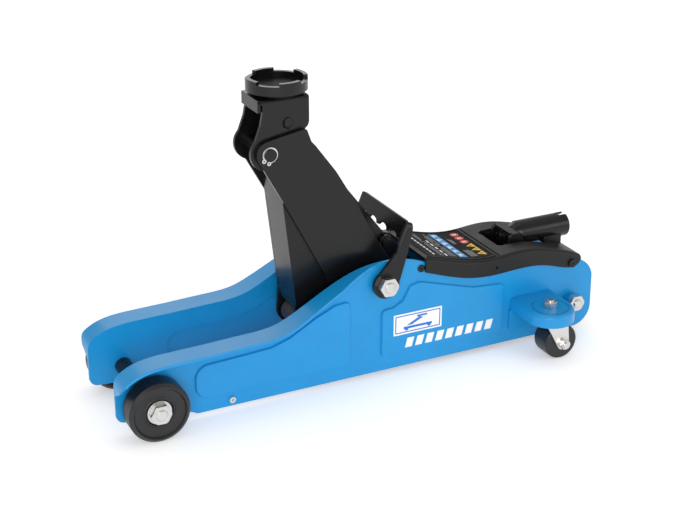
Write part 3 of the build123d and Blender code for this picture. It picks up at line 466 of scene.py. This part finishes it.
# three red discs and three yellow triangles along the rear edge
SIGN_ROW = 0.3835
for number in range(3):
    v = 0.0285 - 0.0110 * number
    deck_mark(f"stop_sign_{number}", disc((SIGN_ROW, v), 0.0050), "red_ink")
    deck_mark(f"stop_sign_core_{number}", disc((SIGN_ROW, v), 0.0024), "white_ink", 2)
    deck_mark(f"stop_sign_bar_{number}", bar(SIGN_ROW - 0.0004, v - 0.0030, SIGN_ROW + 0.0004, v + 0.0030),
              "red_ink", 3)
for number in range(3):
    v = -0.0055 - 0.0115 * number
    corners = [(SIGN_ROW - 0.0046, v), (SIGN_ROW + 0.0046, v - 0.0054), (SIGN_ROW + 0.0046, v + 0.0054)]
    deck_mark(f"care_sign_{number}", corners, "yellow_ink")
    deck_mark(f"care_sign_core_{number}", bar(SIGN_ROW - 0.0012, v - 0.0007, SIGN_ROW + 0.0028, v + 0.0007),
              "black_film_and_painted_shade", 2)

# a blue band of white pictograms across the middle
BAND_FRONT = 0.3535
BAND_REAR = 0.3635
patch("picture_band", (BAND_FRONT, -0.0350, BAND_REAR, 0.0350), 4, 20,
      lambda u, v, height: deck_place(u, v, height + PLATE_FILM - 0.00005), 0.0001,
      "chassis", MARKS["sky_ink"])
for number in range(6):
    v = -0.0290 + 0.0116 * number
    deck_mark(f"picture_body_{number}", bar(0.3553, v - 0.0034, 0.3578, v + 0.0030, 0.0006), "white_ink")
    deck_mark(f"picture_arm_{number}", bar(0.3585, v - 0.0012, 0.3602, v + 0.0034, -0.0004), "white_ink")
    deck_mark(f"picture_head_{number}", disc((0.3614, v + 0.0010), 0.0011), "white_ink")

# plain ruled lines stand in for the printed text
RULES = (
    (0.3690, -0.0340, -0.0150), (0.3712, -0.0340, -0.0165), (0.3734, -0.0340, -0.0150),
    (0.3756, -0.0340, -0.0180), (0.3690, 0.0040, 0.0190), (0.3712, 0.0040, 0.0165),
    (0.3490, -0.0340, -0.0040), (0.3490, 0.0010, 0.0300), (0.3462, -0.0340, 0.0060),
    (0.3462, 0.0110, 0.0340), (0.3434, -0.0340, -0.0100), (0.3434, -0.0050, 0.0250),
    (0.3330, -0.0340, 0.0090), (0.3330, 0.0140, 0.0320), (0.3302, -0.0340, 0.0020),
    (0.3302, 0.0060, 0.0290),
)
for number, (u, v0, v1) in enumerate(RULES):
    deck_mark(f"rule_{number}", bar(u, v0, u + 0.0009, v1), "grey_ink")
for number in range(5):
    v = -0.0310 + 0.0098 * number
    deck_mark(f"heading_{number}", bar(0.3370, v - 0.0024, 0.3396, v + 0.0042, 0.0004), "white_ink")
for number in range(9):
    v = -0.0330 + 0.0066 * number
    deck_mark(f"footer_{number}", bar(0.3215, v, 0.3240, v + 0.0046, 0.0004), "white_ink")

# ---- Saddle: painted shade on the cup's floor, and painted shadow and shade at the staked ends of the link pin in the bracket's cheeks ---
SADDLE_AT = Vector(JOINTS["saddle_swivel"]["pos_m"])
SADDLE_FLOOR = next(mount for mount in frame["record"]["mounts"] if mount["name"] == "saddle_pad")["pos_m"][2]
SADDLE_SHADE_R = 0.0262
SADDLE_SHADE_FILM = 0.00015


def saddle_place(u, v, height):
    return Vector((u, v, SADDLE_FLOOR + height))


# A thin dark disc on the saddle's floor: painted shade inside the cup
film("saddle_floor_painted_shade", disc((SADDLE_AT.x, 0), SADDLE_SHADE_R, 48), saddle_place, SKIN_GAP, SADDLE_SHADE_FILM,
     "saddle_body", MARKS["black_film_and_painted_shade"])

CHEEK_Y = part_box("saddle_bracket")[1][1]
PIN_SHADE_FILM = 0.0002
link_pin = middle("link_pin_front")


def crescent(centre, outer, inner, shift, count=20):
    """Crescent open towards +u: an outer arc, and an inner arc moved towards +u."""
    turns = [math.radians(100 + 170 * i / count) for i in range(count + 1)]
    edge = [(centre[0] + outer * math.cos(t), centre[1] + outer * math.sin(t)) for t in turns]
    back_edge = [(centre[0] + shift + inner * math.cos(t), centre[1] + inner * math.sin(t)) for t in turns]
    return edge + back_edge[::-1]


for side_name, sign in (("left", -1), ("right", 1)):

    def cheek_place(u, v, height, sign=sign):
        return Vector((u, sign * (CHEEK_Y + SKIN_GAP + height), v))

    centre = (link_pin.x + 0.0012, link_pin.z - 0.0004)
    # Dark crescent film: painted shadow at the edge of the pin's recessed end
    film(f"pin_stake_{side_name}", crescent(centre, 0.0066, 0.0058, 0.0009), cheek_place, 0, PIN_SHADE_FILM,
         "saddle_bracket_body", MARKS["black_film_and_painted_shade"])
    # Dark dots: painted shade in the staking notches beside the pin end
    for number in range(3):
        turn = math.radians(162 + 24 * number)
        dot = (centre[0] + 0.0068 * math.cos(turn), centre[1] + 0.0068 * math.sin(turn))
        film(f"pin_stake_dot_{side_name}_{number}", disc(dot, 0.0009, 10), cheek_place, 0, PIN_SHADE_FILM,
             "saddle_bracket_body", MARKS["black_film_and_painted_shade"])

# ---- Return springs and the plunger's spring ------------------------------------------------------
SPRING_WIRE = 0.0009
SPRING_Y = 0.030
SPRING_R = 0.0045
SPRING_TURNS = 62
LUG_REACH = 0.074
for side_name, sign in (("left", -1), ("right", 1)):
    anchor = UNIT_AT + RAM_AXIS * LUG_REACH
    anchor.y = sign * SPRING_Y
    ram_stud = middle("crosshead")
    ram_stud.y = sign * SPRING_Y
    length = (ram_stud - anchor).length - 0.004
    verts, faces = helix(anchor, ram_stud - anchor, length, SPRING_R, SPRING_TURNS, SPRING_WIRE)
    spring = smooth(piece(f"return_spring_{side_name}", verts, faces, "power_unit", MATERIALS["spring_steel"]))
    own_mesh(spring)
    if sign < 0:
        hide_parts("return_springs")

spring_length = 0.0100
PLUNGER_COIL_R = 0.0079
PLUNGER_COIL_TURNS = 4.5
spring_foot = middle("plunger_spring") - UNIT_UP * spring_length / 2
verts, faces = helix(spring_foot, UNIT_UP, spring_length, PLUNGER_COIL_R, PLUNGER_COIL_TURNS, SPRING_WIRE)
coil = smooth(piece("plunger_coil", verts, faces, "power_unit", MATERIALS["spring_steel"]))
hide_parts("plunger_spring")


# ---- Threads on the ends of studs and shafts -------------------------------------------------------
def thread(name, start, axis, length, radius, pitch, body, slot_name="zinc"):
    """Raised screw thread over a round end, so its crests stand just proud of the shank."""
    verts = []
    faces = []
    steps = 18
    axis = Vector(axis).normalized()
    across = axis.orthogonal().normalized()
    other = axis.cross(across)
    count = max(2, int(length / pitch * steps))
    root = radius - 0.0001
    crest = radius + 0.00022
    for i in range(count + 1):
        turn = 2 * math.pi * i / steps
        spoke = across * math.cos(turn) + other * math.sin(turn)
        along = length * i / count
        for shift, reach in ((-pitch * 0.42, root), (0, crest), (pitch * 0.42, root)):
            verts.append(start + axis * (along + shift) + spoke * reach)
    for i in range(count):
        a = 3 * i
        for k in range(3):
            b = a + (k + 1) % 3
            faces.append((a + k, b, b + 3, a + k + 3))
    faces.append((0, 1, 2))
    faces.append((3 * count + 2, 3 * count + 1, 3 * count))
    return piece(name, verts, faces, body, MATERIALS[slot_name])


M8 = 0.004                     # shank radii
M10 = 0.005
M8_PITCH = 0.00125
M10_PITCH = 0.0011
stud_nut_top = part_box("caster_stud_nuts")[1][2]
stud_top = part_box("caster_studs")[1][2]
tie_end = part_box("rear_tie_rod")[1][1]
tie_nut_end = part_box("rear_tie_nuts")[1][1]
tie_at = Vector(JOINTS["power_unit_tilt"]["pos_m"])
for side_name, sign in (("left", -1), ("right", 1)):
    stud_at = Vector(JOINTS[f"caster_swivel_{side_name}"]["pos_m"])
    stud_at.z = stud_nut_top + 0.0004
    thread(f"caster_thread_{side_name}", stud_at, (0, 0, 1), stud_top - stud_nut_top - 0.0009, M8, M8_PITCH,
           "chassis")
    tie_start = Vector((tie_at.x, sign * (tie_nut_end + 0.0002), tie_at.z))
    thread(f"tie_thread_{side_name}", tie_start, (0, sign, 0), tie_end - tie_nut_end - 0.0008, M10, M10_PITCH,
           "chassis")

# ---- Camera ---------------------------------------------------------------------------------------
AIM = Vector((-0.0156, 0.0, 0.1294))
CAMERA_AZIMUTH = math.radians(-26.31)
CAMERA_HEIGHT = math.radians(23.20)
CAMERA_AWAY = 1.5179
back = Vector((
    math.sin(CAMERA_AZIMUTH) * math.cos(CAMERA_HEIGHT),
    -math.cos(CAMERA_AZIMUTH) * math.cos(CAMERA_HEIGHT),
    math.sin(CAMERA_HEIGHT),
))
camera_data = bpy.data.cameras.new("camera")
camera_data.sensor_width = 36.0
camera_data.lens = 77.42
camera = bpy.data.objects.new("camera", camera_data)
bpy.context.scene.collection.objects.link(camera)
camera.location = AIM + back * CAMERA_AWAY
camera.rotation_euler = back.to_track_quat("Z", "Y").to_euler()
bpy.context.scene.camera = camera

# ---- Floor and light --------------------------------------------------------------------------------
floor_material, floor_nodes, _ = new_material("pale_floor")
floor_shader = floor_nodes["Principled BSDF"]
floor_shader.inputs["Base Color"].default_value = (0.90, 0.90, 0.90, 1)
floor_shader.inputs["Roughness"].default_value = 0.85
floor_shader.inputs["Specular IOR Level"].default_value = 0.1
floor_shader.inputs["Emission Color"].default_value = (1, 1, 1, 1)
floor_shader.inputs["Emission Strength"].default_value = 0.34
floor_mesh = bpy.data.meshes.new("floor")
FLOOR_HALF = 30.0
floor_corners = [(FLOOR_HALF * x, FLOOR_HALF * y, 0) for x, y in ((-1, -1), (1, -1), (1, 1), (-1, 1))]
floor_mesh.from_pydata(floor_corners, [], [(0, 1, 2, 3)])
floor_mesh.materials.append(floor_material)
floor = bpy.data.objects.new("floor", floor_mesh)
bpy.context.scene.collection.objects.link(floor)

world = bpy.data.worlds.new("studio")
world.use_nodes = True
world.node_tree.nodes["Background"].inputs["Color"].default_value = (1.0, 1.0, 1.0, 1)
world.node_tree.nodes["Background"].inputs["Strength"].default_value = 0.58
bpy.context.scene.world = world
bpy.context.scene.view_settings.view_transform = "Standard"


def area_light(name, place, aim, width, height, power):
    data = bpy.data.lights.new(name, "AREA")
    data.shape = "RECTANGLE"
    data.size = width
    data.size_y = height
    data.energy = power
    lamp = bpy.data.objects.new(name, data)
    lamp.location = place
    lamp.rotation_euler = (Vector(place) - Vector(aim)).to_track_quat("Z", "Y").to_euler()
    bpy.context.scene.collection.objects.link(lamp)


area_light("key", (-1.2, -2.2, 0.9), (0, 0, 0.15), 1.5, 1.1, 28)
area_light("fill", (1.7, -1.5, 0.8), (0, 0, 0.1), 1.2, 1.0, 7.5)
area_light("top", (0.1, 0.3, 2.0), (0, 0, 0.1), 1.6, 1.2, 5)
area_light("back", (0.4, 1.9, 1.1), (0, 0, 0.15), 1.6, 0.8, 6)
